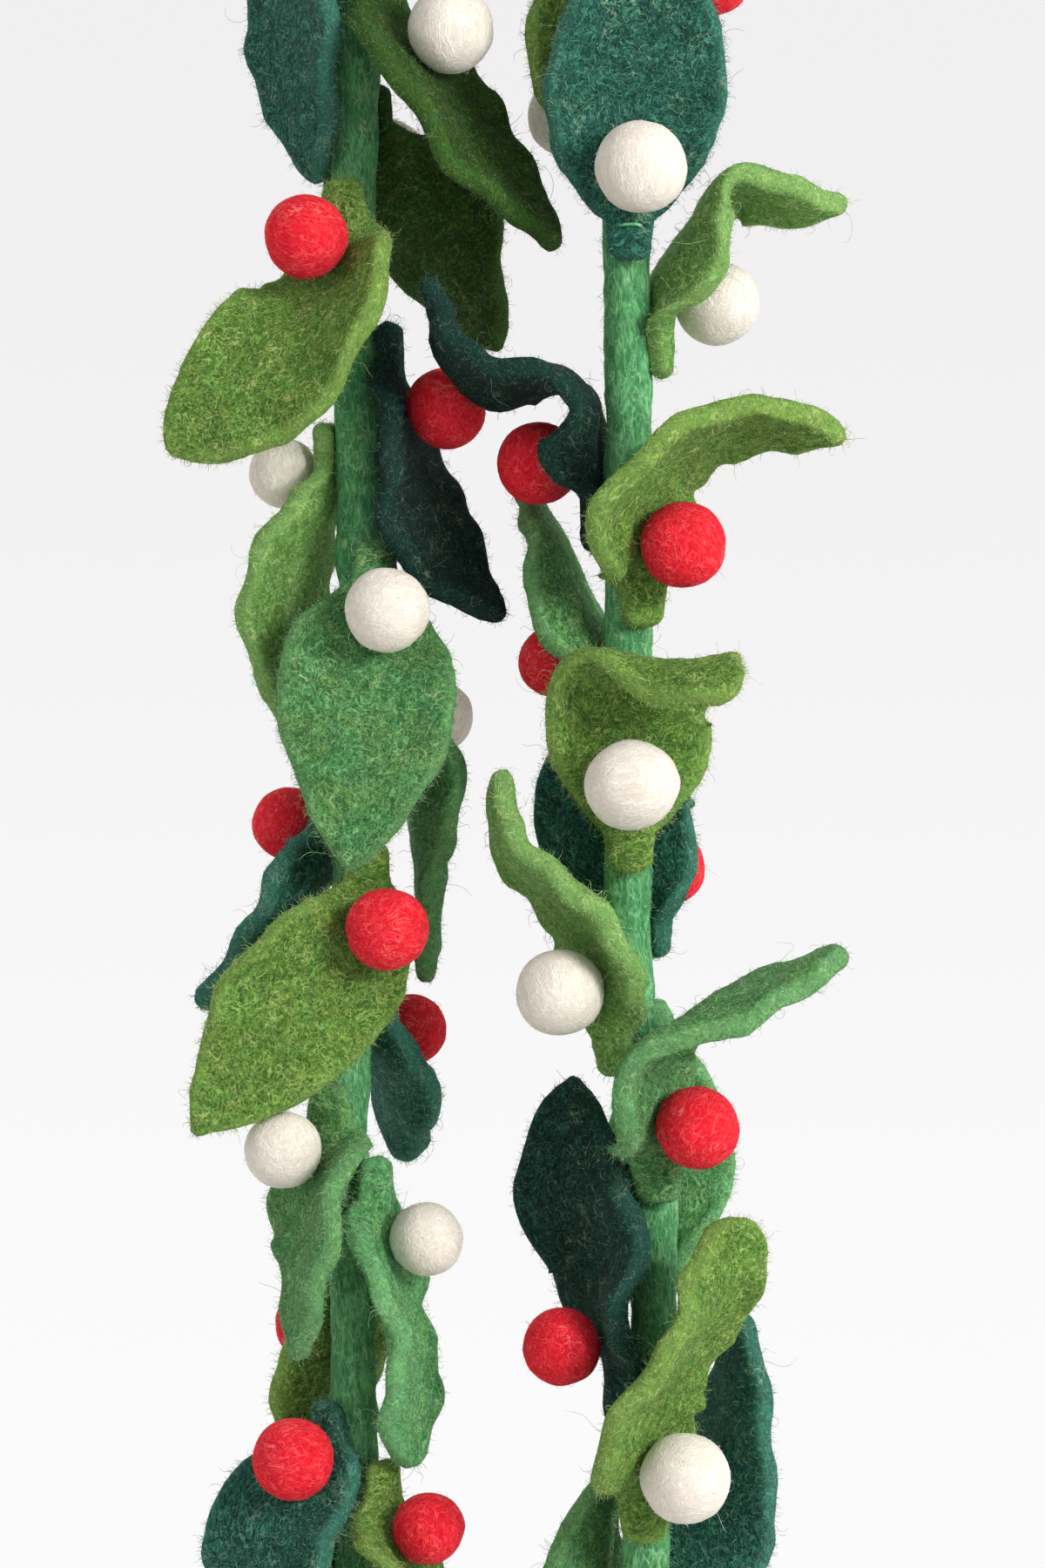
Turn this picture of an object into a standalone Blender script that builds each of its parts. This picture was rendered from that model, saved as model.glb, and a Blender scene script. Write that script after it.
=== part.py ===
"""A felt ball garland, hung double over a peg: one wool-felt rope, with leaves cut from thick felt
sewn along it, each carrying a felt ball.

Every leaf points the same way along the rope. The rope climbs on the right, bends over the
peg and comes down on the left, so the leaves point up on the right and down on the left.
Metres, +Z up, +X to the right, seen from -Y. The origin is the underside of the bend, where
the peg carries it. The tables are in millimetres and degrees.
"""

import math
from collections import namedtuple

import bmesh
import bpy
from mathutils import Matrix, Vector

MM = 0.001

# The felt: rope, leaves and the space left between two pieces that are sewn together.
ROPE_RADIUS = 5.4 * MM
FELT_THICKNESS = 5.2 * MM
SEWN_GAP = 0.3 * MM

# The bend over the peg: the rope's own centre line turns on this radius.
BEND_RADIUS = 30.4 * MM
BEND_POINTS = 9
LEG_DEPTH = 8 * MM

# The leaf's cut: a short tail under the stitch, a neck, and a pointed oval blade.
TAIL_LENGTH = 9 * MM
TAIL_END_WIDTH = 8.5 * MM
NECK_WIDTH = 11 * MM
TIP_WIDTH = 3.4 * MM
BELLY_SHIFT = 0.8
BASE_DRAW = 1.05
BASE_END = 0.1
BASE_FADE = 0.4
NECK_FADE = 4
LAST_SHARE = 0.995
UNWRAPPED_SHARE = 0.12

TAIL_ROWS = 2
BLADE_ROWS = 11
CELLS_ACROSS = 4
WALK_STEPS = 72

ROPE_STEP = 11 * MM
BALL_SEGMENTS = 10
BALL_RINGS = 7
SUNK_IN_LEAF = 0.8 * MM

VIEWER = Vector((0, -1, 0))

# The legs of the rope from the bend down: drop below the peg, and how far out from the
# middle each leg hangs there.
LegPoint = namedtuple("LegPoint", "drop out")
RIGHT_LEG = [
    LegPoint(93, 30.4), LegPoint(135, 30.8), LegPoint(175, 31.2), LegPoint(235, 31.2),
    LegPoint(262, 31.8), LegPoint(290, 35.4), LegPoint(330, 37.0), LegPoint(370, 35.6),
    LegPoint(400, 34.4), LegPoint(430, 33.6), LegPoint(451, 34.0),
]
LEFT_LEG = [
    LegPoint(75, 32.0), LegPoint(135, 30.8), LegPoint(175, 30.2), LegPoint(235, 31.4),
    LegPoint(285, 34.0), LegPoint(325, 32.4), LegPoint(355, 32.0), LegPoint(380, 31.4),
    LegPoint(410, 31.0), LegPoint(432, 31.4),
]

# A sprig is a leaf with its ball. along: place of the neck on the rope, from the top of the
# bend, less than 0 on the right leg. round: where on the rope it is sewn, 0 to the viewer,
# 90 to the outside of the bend. Then, at even steps from the neck to the tip: the bearing
# of the midrib in the front view (0 right, 90 up), its tilt to the viewer, and how far the
# ball's side of the blade is rolled away from the viewer. seat: the ball, past the neck.
# own: whether the ball is a solid of its own. cup: the radius that the blade is cupped to.
# draw: how sharply the blade draws in to its tip, less for a blunter one.
Sprig = namedtuple(
    "Sprig",
    "name tone along round length width bearings tilts rolls ball diameter seat own cup draw",
    defaults=(12, True, 70, 0.75),
)
SPRIGS = [
    Sprig("01", "green", -455, -150, 60, 38, (114, 93, 80, 73),
          (-4, -8, -5, -5), (-145, -128, -116, -114), "red", 18, own=False),
    Sprig("02", "teal", -429.5, 130, 72, 38, (63, 73, 75, 82, 88),
          (-8, -8, -4, 0, 0), (145, 128, 118, 118, 120), "white", 18),
    Sprig("03", "lime", -401, -5, 74, 37, (99, 72, 56, 60, 64, 62),
          (32, 20, 5, 0, 0, 0), (42, 58, 70, 66, 42, 20), "white", 20.5, cup=60, draw=0.5),
    Sprig("04", "teal", -375.5, -75, 72, 40, (106, 82, 125, 98, 91, 77),
          (-5, -9, -12, -11, -8, -4), (-78, -66, -53, -41, -34, -32), "red", 17.8, draw=0.68),
    Sprig("05", "green", -346, 150, 60, 34, (98, 88, 96, 88),
          (-26, -22, -14, -5), (165, 145, 125, 115), "white", 17, own=False),
    Sprig("06", "green", -324.5, 8, 78, 38, (101, 90, 32, 28, 22, 25, 27),
          (32, 20, 6, 0, 0, 0, 0), (50, 64, 78, 92, 98, 102, 100), "red", 18.6, cup=60),
    Sprig("07", "lime", -295, -45, 69, 37, (92, 112, 139, 136, 102, 95),
          (8, 5, 5, 0, 0, 0), (-58, -70, -76, -77, -78, -80), "white", 19.6, cup=60),
    Sprig("08", "teal", -269.5, 140, 59, 38, (124, 90, 76, 57),
          (-22, -16, -10, 0), (155, 168, 180, 180), "red", 18, own=False),
    Sprig("09", "lime", -249.5, 0, 68, 36, (89, 93, 53, -8, -25, -39),
          (5, 8, 25, 58, 50, 25), (0, 5, 25, 95, 132, 146), "white", 20.6, draw=0.5),
    Sprig("10", "green", -217, -120, 59, 38, (104, 108, 115, 119, 121),
          (-25, -32, -30, -28, -22), (-124, -108, -98, -97, -100), "red", 16.6),
    Sprig("11", "lime", -194.2, 20, 76, 38, (107, 66, 46, 24, 1, -12, -19),
          (36, 22, 5, 0, 0, 0, 0), (50, 62, 72, 75, 75, 72, 75), "red", 19.2, cup=60, draw=0.62),
    Sprig("12", "teal", -176.5, -96, 76, 37, (101, 93, 160, 184, 136, 112, 103),
          (14, 20, 12, 0, 0, 0, 0), (-120, -105, -90, -83, -82, -82, -84), "red", 18.8, cup=60),
    Sprig("13", "lime", -137.5, 85, 67, 36, (75, 62, 54, -19, -12, 8),
          (0, 0, 5, 8, 5, 0), (112, 104, 90, 80, 76, 80), "white", 19.6, cup=34),
    Sprig("14", "teal", -111.5, 5, 73, 40, (89, 83, 91, 90, 95),
          (10, 10, 8, 5, 0), (10, 10, 5, 2, 0), "white", 20.8),
    Sprig("15", "lime", -90, -150, 48, 36, (105, 108, 104, 104, 100),
          (-15, -20, -28, -38, -45), (-145, -125, -115, -113, -115), "white", 19.2, own=False),
    Sprig("16", "green", -62, 108, 59, 36, (72, 78, 69, 66),
          (-5, -5, 0, 0), (108, 100, 95, 92), "red", 18, own=False),
    Sprig("17", "teal", -22, 60, 56, 38, (175, 86, 150, 124),
          (15, 10, 0, 0), (60, 50, 40, 40), "white", 19, own=False),
    Sprig("18", "lime", 12, 75, 57, 38, (-258, -199, -199, -176),
          (0, 0, 10, 10), (75, 75, 70, 60), "red", 18.2, own=False),
    Sprig("19", "teal", 31, 75, 75, 40, (-117, -94, -88, -81, -80),
          (0, 0, 0, 0, 0), (70, 62, 56, 55, 58), "white", 18.6, own=False),
    Sprig("20", "green", 54.5, -54, 76, 38, (-66, -53, -58, -47, -49, -56),
          (28, 12, 2, 0, 0, 0), (-57, -64, -61, -58, -58, -66), "white", 19.4, seat=23, cup=60),
    Sprig("21", "green", 84, -155, 63, 38, (-45, -62, -56, -66),
          (-24, -18, -10, 0), (-160, -142, -128, -124), "white", 17, own=False),
    Sprig("22", "lime", 108.5, 16, 73, 40, (-98, -122, -136, -139, -139, -138),
          (30, 16, 5, 0, 0, 0), (42, 48, 30, 12, 8, 6), "red", 18.6, cup=60, draw=0.58),
    Sprig("23", "teal", 141, -75, 68, 39, (-85, -79, -70, -55, -46, -35),
          (-9, -6, -1, 0, 0, 0), (-82, -76, -64, -58, -57, -61), "red", 18.4),
    Sprig("24", "lime", 163.5, 112, 64, 38, (-112, -106, -96, -88, -90),
          (-5, -5, 0, 5, 0), (102, 112, 119, 116, 116), "white", 16, seat=3),
    Sprig("25", "green", 191.5, -25, 69, 40, (-98, -90, -96, -96, -97),
          (23, 14, 6, 0, -3), (-13, -3, 2, 0, 0), "white", 19.4, cup=90),
    Sprig("26", "green", 215.5, -120, 72, 37, (-71, -80, -87, -92, -92),
          (-20, -16, -6, 0, 0), (-125, -106, -92, -88, -88), "white", 17.4, own=False, cup=60),
    Sprig("27", "teal", 246, 125, 56, 36, (-116, -123, -134, -135, -133),
          (-8, -5, 0, 0, 0), (112, 100, 97, 96, 100), "red", 17.4, seat=4, cup=60),
    Sprig("28", "lime", 261, -20, 72, 37, (-119, -135, -125, -133, -126),
          (24, 16, 9, 4, 0), (-30, -20, -10, -5, -5), "red", 19.4, cup=80),
    Sprig("29", "teal", 289, -140, 47, 36, (-85, -65, -81, -74, -83),
          (-38, -42, -38, -15, 10), (-125, -118, -110, -112, -118), "red", 16.2, seat=17, cup=60, draw=0.5),
    Sprig("30", "green", 316.5, 24, 56, 36, (-104, -92, -102, -97, -102),
          (34, 24, 8, 0, 0), (58, 66, 70, 74, 78), "white", 17.6, cup=60),
    Sprig("31", "green", 334, -50, 63, 36, (-79, -81, -74, -89, -90, -82),
          (8, 6, 0, 0, 0, 0), (-66, -78, -84, -76, -62, -52), "white", 17, cup=60, draw=0.6),
    Sprig("32", "lime", 358, 150, 69, 34, (-94, -103, -82, -98),
          (-30, -24, -14, -5), (140, 115, 105, 105), "red", 17, own=False),
    Sprig("33", "teal", 389.5, 48, 70, 33, (-143, -94, -105, -94, -98),
          (18, 14, 8, 0, 0), (40, 34, 32, 30, 28), "red", 18.6, cup=60),
    Sprig("34", "lime", 403.5, -50, 65, 34, (-68, -110, -76, -100, -80),
          (30, 20, 8, 0, 0), (-66, -75, -78, -78, -77), "red", 16, cup=60),
    Sprig("35", "green", 420.5, 105, 69, 36, (-121, -122, -97, -108),
          (-14, -12, -6, 0), (115, 122, 126, 126), "white", 18, own=False),
    Sprig("36", "teal", 440.5, -145, 74, 36, (-74, -58, -88, -63),
          (-26, -20, -10, 0), (-140, -130, -126, -126), "red", 17.6, own=False),
]

TONES = {
    "rope": (0.07, 0.27, 0.10),
    "lime": (0.16, 0.30, 0.05),
    "green": (0.06, 0.23, 0.08),
    "teal": (0.015, 0.085, 0.075),
    "red": (0.62, 0.02, 0.03),
    "white": (0.80, 0.72, 0.62),
}


def clear_scene():
    for obj in list(bpy.data.objects):
        bpy.data.objects.remove(obj)


def new_collection(name):
    collection = bpy.data.collections.new(name)
    bpy.context.scene.collection.children.link(collection)
    return collection


def felt(tone):
    """The felt of one colour: matt, with no metal in it."""
    name = "felt_" + tone
    if name in bpy.data.materials:
        return bpy.data.materials[name]
    material = bpy.data.materials.new(name)
    material.use_nodes = True
    shader = material.node_tree.nodes["Principled BSDF"]
    shader.inputs["Base Color"].default_value = (*TONES[tone], 1)
    shader.inputs["Roughness"].default_value = 0.95
    shader.inputs["Metallic"].default_value = 0.0
    return material


def smooth_value(values, t):
    """A smooth curve through values that are evenly spaced from 0 to 1, read at t."""
    spans = len(values) - 1
    at = min(max(t, 0.0), 1.0) * spans
    i = min(int(at), spans - 1)
    f = at - i
    a, b = values[i], values[i + 1]
    before = values[max(i - 1, 0)]
    after = values[min(i + 2, spans)]
    slope_a = (b - before) / 2
    slope_b = (after - a) / 2
    return (
        (2 * f**3 - 3 * f**2 + 1) * a + (f**3 - 2 * f**2 + f) * slope_a
        + (3 * f**2 - 2 * f**3) * b + (f**3 - f**2) * slope_b
    )


def route_points():
    """The rope's own points, from the lower end of the right leg over the bend to the left."""
    points = [Vector((p.out * MM, -LEG_DEPTH, -p.drop * MM)) for p in reversed(RIGHT_LEG)]
    centre_drop = BEND_RADIUS - ROPE_RADIUS
    for i in range(BEND_POINTS):
        turn = math.pi * i / (BEND_POINTS - 1)
        points.append(Vector((
            BEND_RADIUS * math.cos(turn),
            -LEG_DEPTH * math.cos(turn),
            BEND_RADIUS * math.sin(turn) - centre_drop,
        )))
    points += [Vector((-p.out * MM, LEG_DEPTH, -p.drop * MM)) for p in LEFT_LEG]
    return points


class Rope:
    """The rope's centre line, read by its length from the top of the bend."""

    FINE = 24

    def __init__(self, points):
        spans = [(b - a).length for a, b in zip(points, points[1:])]
        self.line = [points[0]]
        for i, _ in enumerate(spans):
            before = points[max(i - 1, 0)]
            after = points[min(i + 2, len(points) - 1)]
            a, b = points[i], points[i + 1]
            chord = spans[i]
            slope_a = (b - before) / ((b - a).length + (a - before).length) * chord
            slope_b = (after - a) / ((after - b).length + (b - a).length) * chord
            for k in range(1, self.FINE + 1):
                f = k / self.FINE
                self.line.append(
                    a * (2 * f**3 - 3 * f**2 + 1) + slope_a * (f**3 - 2 * f**2 + f)
                    + b * (3 * f**2 - 2 * f**3) + slope_b * (f**3 - f**2)
                )
        self.lengths = [0.0]
        for a, b in zip(self.line, self.line[1:]):
            self.lengths.append(self.lengths[-1] + (b - a).length)
        top = max(range(len(self.line)), key=lambda i: self.line[i].z)
        self.start = -self.lengths[top]
        self.end = self.lengths[-1] + self.start

    def place(self, along):
        at = min(max(along - self.start, 0.0), self.lengths[-1])
        low, high = 0, len(self.lengths) - 1
        while high - low > 1:
            middle = (low + high) // 2
            low, high = (middle, high) if self.lengths[middle] <= at else (low, middle)
        f = (at - self.lengths[low]) / (self.lengths[high] - self.lengths[low])
        return self.line[low].lerp(self.line[high], f)

    def heading(self, along):
        step = 1 * MM
        return (self.place(along + step) - self.place(along - step)).normalized()

    def outward(self, along, turn):
        """The direction straight out of the rope at an angle round it."""
        heading = self.heading(along)
        front = (VIEWER - heading * VIEWER.dot(heading)).normalized()
        return front * math.cos(turn) + heading.cross(front) * math.sin(turn)


Row = namedtuple("Row", "point heading normal half_width curl")


def half_width_at(share, sprig):
    """Half the width of the blade, at a share of the way from its neck to its tip."""
    past_base = min(max((share - BASE_END) / BASE_FADE, 0.0), 1.0)
    draw = BASE_DRAW + (sprig.draw - BASE_DRAW) * past_base
    oval = math.sin(math.pi * min(share, LAST_SHARE) ** BELLY_SHIFT) ** draw
    neck = NECK_WIDTH / 2 * (1 - share) ** NECK_FADE
    return max(sprig.width / 2 * MM * oval + neck, TIP_WIDTH / 2)


def turned_normal(heading, roll):
    front = (VIEWER - heading * VIEWER.dot(heading)).normalized()
    return front * math.cos(roll) + heading.cross(front) * math.sin(roll)


def leaf_rows(sprig, rope):
    """The cross rows of a leaf, from the end of its tail to its tip."""
    along = sprig.along * MM
    turn = math.radians(sprig.round)
    seat = ROPE_RADIUS + SEWN_GAP + FELT_THICKNESS / 2
    rows = []
    for i in range(TAIL_ROWS):
        share = i / TAIL_ROWS
        at = along - TAIL_LENGTH * (1 - share)
        out = rope.outward(at, turn)
        half = (TAIL_END_WIDTH + (NECK_WIDTH - TAIL_END_WIDTH) * share) / 2
        rows.append(Row(rope.place(at) + out * seat, rope.heading(at), out, half, -1 / seat))

    start = rope.heading(along)
    first = math.degrees(math.atan2(start.z, start.x))
    first += 360 * round((sprig.bearings[0] - first) / 360)
    bearings = [first, *sprig.bearings]
    tilts = [math.degrees(math.asin(start.dot(VIEWER))), *sprig.tilts]
    rolls = [sprig.round, *sprig.rolls]
    length = sprig.length * MM
    point = rope.place(along) + rope.outward(along, turn) * seat
    wanted = [round(WALK_STEPS * i / BLADE_ROWS) for i in range(BLADE_ROWS + 1)]
    for step in range(WALK_STEPS + 1):
        share = step / WALK_STEPS
        bearing = math.radians(smooth_value(bearings, share))
        tilt = math.radians(smooth_value(tilts, share))
        heading = Vector((
            math.cos(bearing) * math.cos(tilt),
            -math.sin(tilt),
            math.sin(bearing) * math.cos(tilt),
        ))
        if step in wanted:
            normal = turned_normal(heading, math.radians(smooth_value(rolls, share)))
            unwrapped = min(share / UNWRAPPED_SHARE, 1.0)
            curl = unwrapped / (sprig.cup * MM) - (1 - unwrapped) / seat
            half = half_width_at(share, sprig)
            rows.append(Row(point.copy(), heading, normal, half, curl))
        point = point + heading * (length / WALK_STEPS)
    return rows


def across(row, share):
    """A point of a cross row: share is -1 at one edge, 0 on the midrib and 1 at the other."""
    side = row.heading.cross(row.normal)
    angle = row.curl * row.half_width * share
    reach = math.sin(angle) / row.curl
    lift = (1 - math.cos(angle)) / row.curl
    return row.point + side * reach + row.normal * lift


def sheet_object(name, rows, collection):
    """A leaf: a grid laid over its rows, then given the felt's thickness."""
    mesh = bpy.data.meshes.new(name)
    bm = bmesh.new()
    bmesh.ops.create_grid(bm, x_segments=CELLS_ACROSS, y_segments=len(rows) - 1, size=1)
    bm.verts.ensure_lookup_table()
    columns = CELLS_ACROSS + 1
    for i, vert in enumerate(sorted(bm.verts, key=lambda v: (round(v.co.y, 4), v.co.x))):
        row = rows[i // columns]
        vert.co = across(row, 2 * (i % columns) / CELLS_ACROSS - 1)
    bm.to_mesh(mesh)
    bm.free()
    leaf = bpy.data.objects.new(name, mesh)
    collection.objects.link(leaf)
    solid = leaf.modifiers.new("thickness", "SOLIDIFY")
    solid.thickness = FELT_THICKNESS
    solid.offset = 0
    return leaf


def row_at(rows, distance):
    """The row's frame at a distance past the neck, between the two rows there."""
    travelled = 0.0
    for a, b in zip(rows[TAIL_ROWS:], rows[TAIL_ROWS + 1:]):
        span = (b.point - a.point).length
        if travelled + span >= distance:
            f = (distance - travelled) / span
            return Row(
                a.point.lerp(b.point, f), a.heading.lerp(b.heading, f).normalized(),
                a.normal.lerp(b.normal, f).normalized(), a.half_width + (b.half_width - a.half_width) * f,
                a.curl + (b.curl - a.curl) * f,
            )
        travelled += span
    raise ValueError("the ball would lie past the tip")


def ball_object(name, sprig, rows, collection, sunk=0.0):
    """The sprig's ball, its pole against the leaf that it is sewn to."""
    row = row_at(rows, sprig.seat * MM)
    radius = sprig.diameter * MM / 2
    normal = row.normal
    centre = row.point + normal * (FELT_THICKNESS / 2 + SEWN_GAP + radius - sunk)
    mesh = bpy.data.meshes.new(name)
    bm = bmesh.new()
    bmesh.ops.create_uvsphere(bm, u_segments=BALL_SEGMENTS, v_segments=BALL_RINGS, radius=radius)
    bm.to_mesh(mesh)
    bm.free()
    mesh.shade_smooth()
    ball = bpy.data.objects.new(name, mesh)
    collection.objects.link(ball)
    ball.matrix_world = Matrix.Translation(centre) @ normal.to_track_quat("Z", "Y").to_matrix().to_4x4()
    mesh.materials.append(felt(sprig.ball))
    return ball


def sprig_objects(sprig, rope, shown, hidden):
    rows = leaf_rows(sprig, rope)
    leaf = sheet_object("leaf_" + sprig.name, rows, shown)
    leaf.data.materials.append(felt(sprig.tone))
    if sprig.own:
        ball_object("ball_" + sprig.name, sprig, rows, shown)
        return
    ball = ball_object("joined_ball_" + sprig.name, sprig, rows, hidden, SEWN_GAP + SUNK_IN_LEAF)
    ball.hide_render = True
    ball.display_type = "WIRE"
    join = leaf.modifiers.new("ball", "BOOLEAN")
    join.operation = "UNION"
    join.material_mode = "TRANSFER"
    join.object = ball


def rope_object(rope, collection):
    count = round((rope.end - rope.start) / ROPE_STEP)
    curve = bpy.data.curves.new("rope", "CURVE")
    curve.dimensions = "3D"
    spline = curve.splines.new("POLY")
    spline.points.add(count)
    for i, point in enumerate(spline.points):
        at = rope.start + (rope.end - rope.start) * i / count
        point.co = (*rope.place(at), 1)
    curve.bevel_depth = ROPE_RADIUS
    curve.bevel_resolution = 2
    curve.use_fill_caps = True
    curve.materials.append(felt("rope"))
    collection.objects.link(bpy.data.objects.new("rope", curve))


def main():
    clear_scene()
    shown = new_collection("felt ball garland")
    hidden = new_collection("balls joined to leaves")
    rope = Rope(route_points())
    rope_object(rope, shown)
    for sprig in SPRIGS:
        sprig_objects(sprig, rope, shown, hidden)


main()
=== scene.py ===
"""The looks of a felt ball garland, hung double over a peg: a hand-rolled wool rope, leaves cut from
thick wool felt, rolled felt balls, and the loose wool that stands off all of them.

Metres, +Z up, seen from -Y. The tables are in millimetres and degrees.
"""

import math
import random
from collections import namedtuple

import bmesh
import bpy
import numpy as np
from mathutils import Matrix, Vector, noise


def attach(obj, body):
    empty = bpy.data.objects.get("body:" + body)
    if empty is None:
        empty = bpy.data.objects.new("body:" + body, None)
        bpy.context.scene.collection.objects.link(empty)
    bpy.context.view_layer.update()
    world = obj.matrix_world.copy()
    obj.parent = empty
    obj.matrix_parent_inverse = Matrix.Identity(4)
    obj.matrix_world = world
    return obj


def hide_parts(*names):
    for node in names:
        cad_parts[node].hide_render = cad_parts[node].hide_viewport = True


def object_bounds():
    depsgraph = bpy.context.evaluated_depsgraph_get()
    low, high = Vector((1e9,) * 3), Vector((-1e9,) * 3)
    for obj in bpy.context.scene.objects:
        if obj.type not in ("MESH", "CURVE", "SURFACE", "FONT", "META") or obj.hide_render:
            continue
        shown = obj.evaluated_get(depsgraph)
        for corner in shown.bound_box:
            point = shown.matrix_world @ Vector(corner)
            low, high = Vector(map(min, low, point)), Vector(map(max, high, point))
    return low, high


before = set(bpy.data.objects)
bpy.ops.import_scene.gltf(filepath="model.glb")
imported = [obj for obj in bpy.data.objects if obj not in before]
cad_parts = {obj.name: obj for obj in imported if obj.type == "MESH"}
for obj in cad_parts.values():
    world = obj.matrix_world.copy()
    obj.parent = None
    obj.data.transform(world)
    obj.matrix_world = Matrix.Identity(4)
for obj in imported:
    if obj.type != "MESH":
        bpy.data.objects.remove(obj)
cad_low, cad_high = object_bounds()
MM = 0.001

# The place it is looked at from: level with the middle of the two legs and straight in front
# of them, through a long lens.
CAMERA_PLACE = (7 * MM, -900 * MM, -215 * MM)
CAMERA_LENS = 90

bpy.ops.object.camera_add(location=CAMERA_PLACE, rotation=(math.radians(90), 0, 0))
camera = bpy.context.object
camera.data.lens = CAMERA_LENS
camera.data.clip_start = 10 * MM
bpy.context.scene.camera = camera


# The rope: wool roving rolled wet between the hands until it felts into one firm green cord,
# a little uneven, with the roving's streaks along it and a slow twist, in radians for each
# metre. It hangs in a bend over the peg, and everything else is sewn to it.
ROPE_RADIUS = 5.4 * MM
BEND_RADIUS = 30.4 * MM
BEND_POINTS = 9
LEG_DEPTH = 8 * MM
ROPE_STEP = 1.7 * MM
ROPE_RING = 26
ROPE_UNEVENNESS = 0.20
ROPE_UNEVEN_LENGTH = 15 * MM
ROPE_TWIST = 9

VIEWER = Vector((0, -1, 0))

# The legs of the rope from the bend down: drop below the peg, and how far out each leg hangs.
LegPoint = namedtuple("LegPoint", "drop out")
RIGHT_LEG = [
    LegPoint(93, 30.4), LegPoint(135, 30.8), LegPoint(175, 31.2), LegPoint(235, 31.2),
    LegPoint(262, 31.8), LegPoint(290, 35.4), LegPoint(330, 37.0), LegPoint(370, 35.6),
    LegPoint(400, 34.4), LegPoint(430, 33.6), LegPoint(451, 34.0),
]
LEFT_LEG = [
    LegPoint(75, 32.0), LegPoint(135, 30.8), LegPoint(175, 30.2), LegPoint(235, 31.4),
    LegPoint(285, 34.0), LegPoint(325, 32.4), LegPoint(355, 32.0), LegPoint(380, 31.4),
    LegPoint(410, 31.0), LegPoint(432, 31.4),
]

# A felt's wool: the dark of its pits, which is painted shade in the felt's hollows, the body of it,
# the fibres that catch the light, painted lighter as light on them, the other wool that is carded
# into it, and the few odd fibres.
Wool = namedtuple("Wool", "pit body fibre second odd")


class Shade:
    """A socket in a material's nodes. Sums and products of it add the Math nodes for them."""

    # A Mix node's sockets when it mixes colours. They share their names with others.
    MIX_SHARE, MIX_FIRST, MIX_SECOND, MIX_RESULT = 0, 6, 7, 2

    def __init__(self, tree, socket=None):
        self.tree = tree
        self.socket = socket

    def node(self, kind, settings, sockets, out=0):
        """Adds a node, its settings first, then its sockets' values or links, and gives what
        comes out of it."""
        node = self.tree.nodes.new("ShaderNode" + kind)
        for key, value in settings.items():
            setattr(node, key, value)
        for key, value in sockets.items():
            if isinstance(value, Shade):
                self.tree.links.new(value.socket, node.inputs[key])
            else:
                node.inputs[key].default_value = value
        return Shade(self.tree, node.outputs[out])

    def math(self, operation, first, second):
        return self.node("Math", {"operation": operation}, {0: first, 1: second})

    def __add__(self, other):
        return self.math("ADD", self, other)

    def __radd__(self, other):
        return self.math("ADD", other, self)

    def __sub__(self, other):
        return self.math("SUBTRACT", self, other)

    def __rsub__(self, other):
        return self.math("SUBTRACT", other, self)

    def __mul__(self, other):
        return self.math("MULTIPLY", self, other)

    def __rmul__(self, other):
        return self.math("MULTIPLY", other, self)

    def __abs__(self):
        return self.math("ABSOLUTE", self, 0)

    def between(self, low, high):
        """0 below low, 1 above high and smooth from one to the other."""
        sockets = {"Value": self, "From Min": low, "From Max": high}
        return self.node("MapRange", {"interpolation_type": "SMOOTHSTEP"}, sockets)

    def raised(self, least, reach):
        """This value, from 0 to 1, brought up to start at least and to go on by reach."""
        return self * reach + least

    def mixed(self, first, second):
        """The two colours mixed by this value, which is 0 for all of the first."""
        sockets = {self.MIX_SHARE: self, self.MIX_FIRST: first, self.MIX_SECOND: second}
        return self.node("Mix", {"data_type": "RGBA"}, sockets, out=self.MIX_RESULT)


# Soft patches all over the wool: how far off they are read, so that no two kinds agree, their
# size, how much finer detail and swirl they have, and the levels between which they set in.
Mottle = namedtuple("Mottle", "apart size detail swirl low high")
CARDED_PATCHES = Mottle(0, 9 * MM, 3, 1.2, 0.40, 0.60)
CLOUDS = Mottle(0.19, 4 * MM, 3, 0.8, 0.38, 0.60)
SWIRLS = Mottle(0.43, 3.2 * MM, 2, 2.4, 0.41, 0.58)
TUFTS = Mottle(0, 1.1 * MM, 3, 1.0, 0.40, 0.60)
ODD_PLACES = Mottle(0.77, 6 * MM, 1, 0, 0.54, 0.64)

# How much of the body's colour is left at the bottom of a mottle, and how much its top adds.
CLOUD_SHADE = (0.50, 0.55)
SWIRL_SHADE = (0.40, 0.60)
TUFT_SHADE = (0.38, 0.55)

# Single fibres that lie on the felt: how far off and how widely they wander, how wide each
# line is, how much it curls and how strongly it shows.
Strand = namedtuple("Strand", "apart size width curl strength")
STRANDS = [
    Strand(0, 4.4 * MM, 0.034, 2.2, 0.54),
    Strand(0.31, 2.2 * MM, 0.055, 1.4, 0.32),
    Strand(0.67, 1.4 * MM, 0.075, 1.2, 0.17),
]
ODD_STRAND = Strand(0.53, 4.6 * MM, 0.028, 2.4, 0.55)
STRAND_DETAIL = 1.5
STRAND_HEIGHT = 0.9

FELT_ROUGHNESS = 0.92
FELT_SPECULAR = 0.18
FELT_SHEEN_ROUGHNESS = 0.5
FELT_BUMP = 0.55
FELT_BUMP_REACH = 0.3 * MM
# A painted glow of light along the cut edges, as if lit from behind: how far the colour there goes
# towards the lit fibres' colour.
PAINTED_RIM_GLOW = 0.32


def cloudy(start, place, size, detail, swirl):
    """Soft noise with patches of one size, in metres."""
    sockets = {"Vector": place, "Scale": 1 / size, "Detail": detail, "Distortion": swirl}
    return start.node("TexNoise", {}, sockets)


def moved(start, place, apart):
    """The same place, read elsewhere in the noise."""
    return start.node("VectorMath", {"operation": "ADD"}, {0: place, 1: (apart, apart, apart)})


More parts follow.
